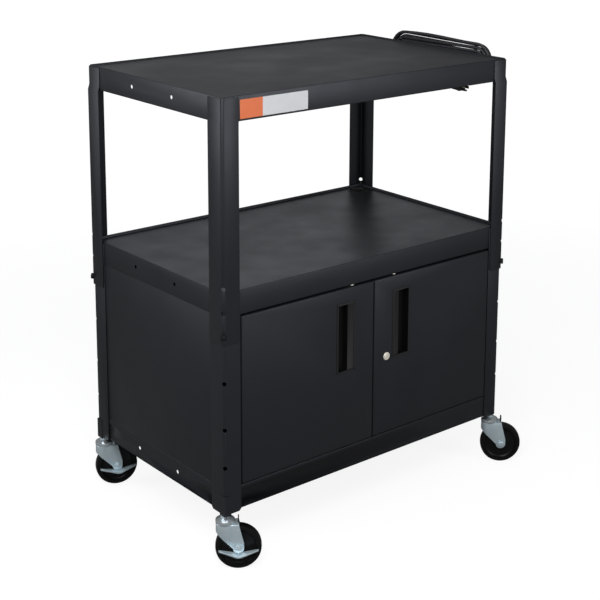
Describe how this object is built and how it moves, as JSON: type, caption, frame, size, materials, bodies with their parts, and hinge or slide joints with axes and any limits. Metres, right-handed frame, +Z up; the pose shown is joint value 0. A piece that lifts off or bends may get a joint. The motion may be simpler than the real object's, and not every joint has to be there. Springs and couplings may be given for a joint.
{
  "type": "audio visual cart",
  "caption": "Adjustable-height steel cart with tray shelves, telescoping corner legs, a locking cabinet, swivel casters and a power cord wound on an outlet unit.",
  "frame": {"origin": "on the floor, under the middle of the shelves", "axes": "+X to the right along the front, +Y to the rear, +Z up"},
  "size_m": [0.8995, 0.5731, 1.0349],
  "materials": {
    "black_powder_coat": "satin powder coat on steel",
    "mat_rubber": "matt rubber with a fine pebbled grain",
    "label_film": "blank printed film, an orange block and a white block",
    "black_plastic": "fine-grained moulded plastic",
    "black_oxide": "black oxide on steel",
    "zinc_plate": "bluish zinc plate on steel",
    "chrome_plate": "bright plate",
    "wheel_rubber": "hard smooth rubber",
    "cord_jacket": "matt vinyl jacket"
  },
  "bodies": {
    "base": {"bottom_pan": "black_powder_coat", "middle_pan": "black_powder_coat", "cable_grommet": "black_plastic", "lower_leg_front_left": "black_powder_coat", "lower_leg_front_right": "black_powder_coat", "lower_leg_rear_left": "black_powder_coat", "lower_leg_rear_right": "black_powder_coat", "side_panel_left": "black_powder_coat", "side_panel_right": "black_powder_coat", "rear_panel": "black_powder_coat", "door_catch_left": "zinc_plate", "door_catch_right": "zinc_plate", "hinge_pin_top_left": "zinc_plate", "hinge_pin_top_right": "zinc_plate", "hinge_pin_bottom_left": "zinc_plate", "hinge_pin_bottom_right": "zinc_plate", "caster_stem_front_left": "chrome_plate", "caster_stem_front_right": "chrome_plate", "caster_stem_rear_left": "chrome_plate", "caster_stem_rear_right": "chrome_plate"},
    "upper": {"top_pan": "black_powder_coat", "top_mat": "mat_rubber", "front_label": "label_film", "upper_leg_front_left": "black_powder_coat", "upper_leg_front_right": "black_powder_coat", "upper_leg_rear_left": "black_powder_coat", "upper_leg_rear_right": "black_powder_coat", "height_bolt_front_left": "black_oxide", "height_bolt_front_right": "black_oxide", "height_bolt_rear_left": "black_oxide", "height_bolt_rear_right": "black_oxide", "outlet_housing": "black_powder_coat", "outlet_1": "black_plastic", "outlet_2": "black_plastic", "outlet_3": "black_plastic", "cord_strain_relief": "black_plastic", "power_cord_loops": "cord_jacket", "power_cord_tail": "cord_jacket", "power_plug": "black_plastic"},
    "door_left": {"door_left": "black_powder_coat", "door_pull_left": "black_plastic"},
    "door_right": {"door_right": "black_powder_coat", "door_pull_right": "black_plastic", "lock_housing": "chrome_plate"},
    "lock": {"lock_plug": "chrome_plate", "lock_cam": "zinc_plate"},
    "swivel_front_left": {"caster_fork_front_left": "zinc_plate", "caster_axle_front_left": "zinc_plate"},
    "wheel_front_left": {"caster_wheel_front_left": "wheel_rubber"},
    "brake_front_left": {"brake_lever_front_left": "zinc_plate"},
    "swivel_front_right": {"caster_fork_front_right": "zinc_plate", "caster_axle_front_right": "zinc_plate"},
    "wheel_front_right": {"caster_wheel_front_right": "wheel_rubber"},
    "swivel_rear_left": {"caster_fork_rear_left": "zinc_plate", "caster_axle_rear_left": "zinc_plate"},
    "wheel_rear_left": {"caster_wheel_rear_left": "wheel_rubber"},
    "brake_rear_left": {"brake_lever_rear_left": "zinc_plate"},
    "swivel_rear_right": {"caster_fork_rear_right": "zinc_plate", "caster_axle_rear_right": "zinc_plate"},
    "wheel_rear_right": {"caster_wheel_rear_right": "wheel_rubber"}
  },
  "joints": [
    {"name": "height_slide", "type": "slide", "parent": "base", "child": "upper", "axis": [0, 0, 1], "range_m": [-0.3048, 0]},
    {"name": "door_left_hinge", "type": "hinge", "parent": "base", "child": "door_left", "pos_m": [-0.3484, -0.2485, 0.36655], "axis": [0, 0, -1], "range_deg": [0, 110]},
    {"name": "door_right_hinge", "type": "hinge", "parent": "base", "child": "door_right", "pos_m": [0.3484, -0.2485, 0.36655], "axis": [0, 0, 1], "range_deg": [0, 110]},
    {"name": "lock_turn", "type": "hinge", "parent": "door_right", "child": "lock", "pos_m": [0.0388, -0.257, 0.3656], "axis": [0, 1, 0], "range_deg": [0, 90]},
    {"name": "swivel_front_left_turn", "type": "hinge", "parent": "base", "child": "swivel_front_left", "pos_m": [-0.4, -0.244, 0.113], "axis": [0, 0, 1], "continuous": true},
    {"name": "wheel_front_left_roll", "type": "hinge", "parent": "swivel_front_left", "child": "wheel_front_left", "pos_m": [-0.37775, -0.26016, 0.049], "axis": [0.5878, 0.809, 0], "continuous": true},
    {"name": "brake_front_left_rock", "type": "hinge", "parent": "swivel_front_left", "child": "brake_front_left", "pos_m": [-0.37775, -0.26016, 0.049], "axis": [0.5878, 0.809, 0], "range_deg": [-12, 12]},
    {"name": "swivel_front_right_turn", "type": "hinge", "parent": "base", "child": "swivel_front_right", "pos_m": [0.4, -0.244, 0.113], "axis": [0, 0, 1], "continuous": true},
    {"name": "wheel_front_right_roll", "type": "hinge", "parent": "swivel_front_right", "child": "wheel_front_right", "pos_m": [0.42075, -0.26204, 0.049], "axis": [0.6561, 0.7547, 0], "continuous": true},
    {"name": "swivel_rear_left_turn", "type": "hinge", "parent": "base", "child": "swivel_rear_left", "pos_m": [-0.4, 0.244, 0.113], "axis": [0, 0, 1], "continuous": true},
    {"name": "wheel_rear_left_roll", "type": "hinge", "parent": "swivel_rear_left", "child": "wheel_rear_left", "pos_m": [-0.37416, 0.23459, 0.049], "axis": [0.342, 0.9397, 0], "continuous": true},
    {"name": "brake_rear_left_rock", "type": "hinge", "parent": "swivel_rear_left", "child": "brake_rear_left", "pos_m": [-0.37416, 0.23459, 0.049], "axis": [0.342, 0.9397, 0], "range_deg": [-12, 12]},
    {"name": "swivel_rear_right_turn", "type": "hinge", "parent": "base", "child": "swivel_rear_right", "pos_m": [0.4, 0.244, 0.113], "axis": [0, 0, 1], "continuous": true},
    {"name": "wheel_rear_right_roll", "type": "hinge", "parent": "swivel_rear_right", "child": "wheel_rear_right", "pos_m": [0.42382, 0.23025, 0.049], "axis": [0.5, 0.866, 0], "continuous": true}
  ]
}
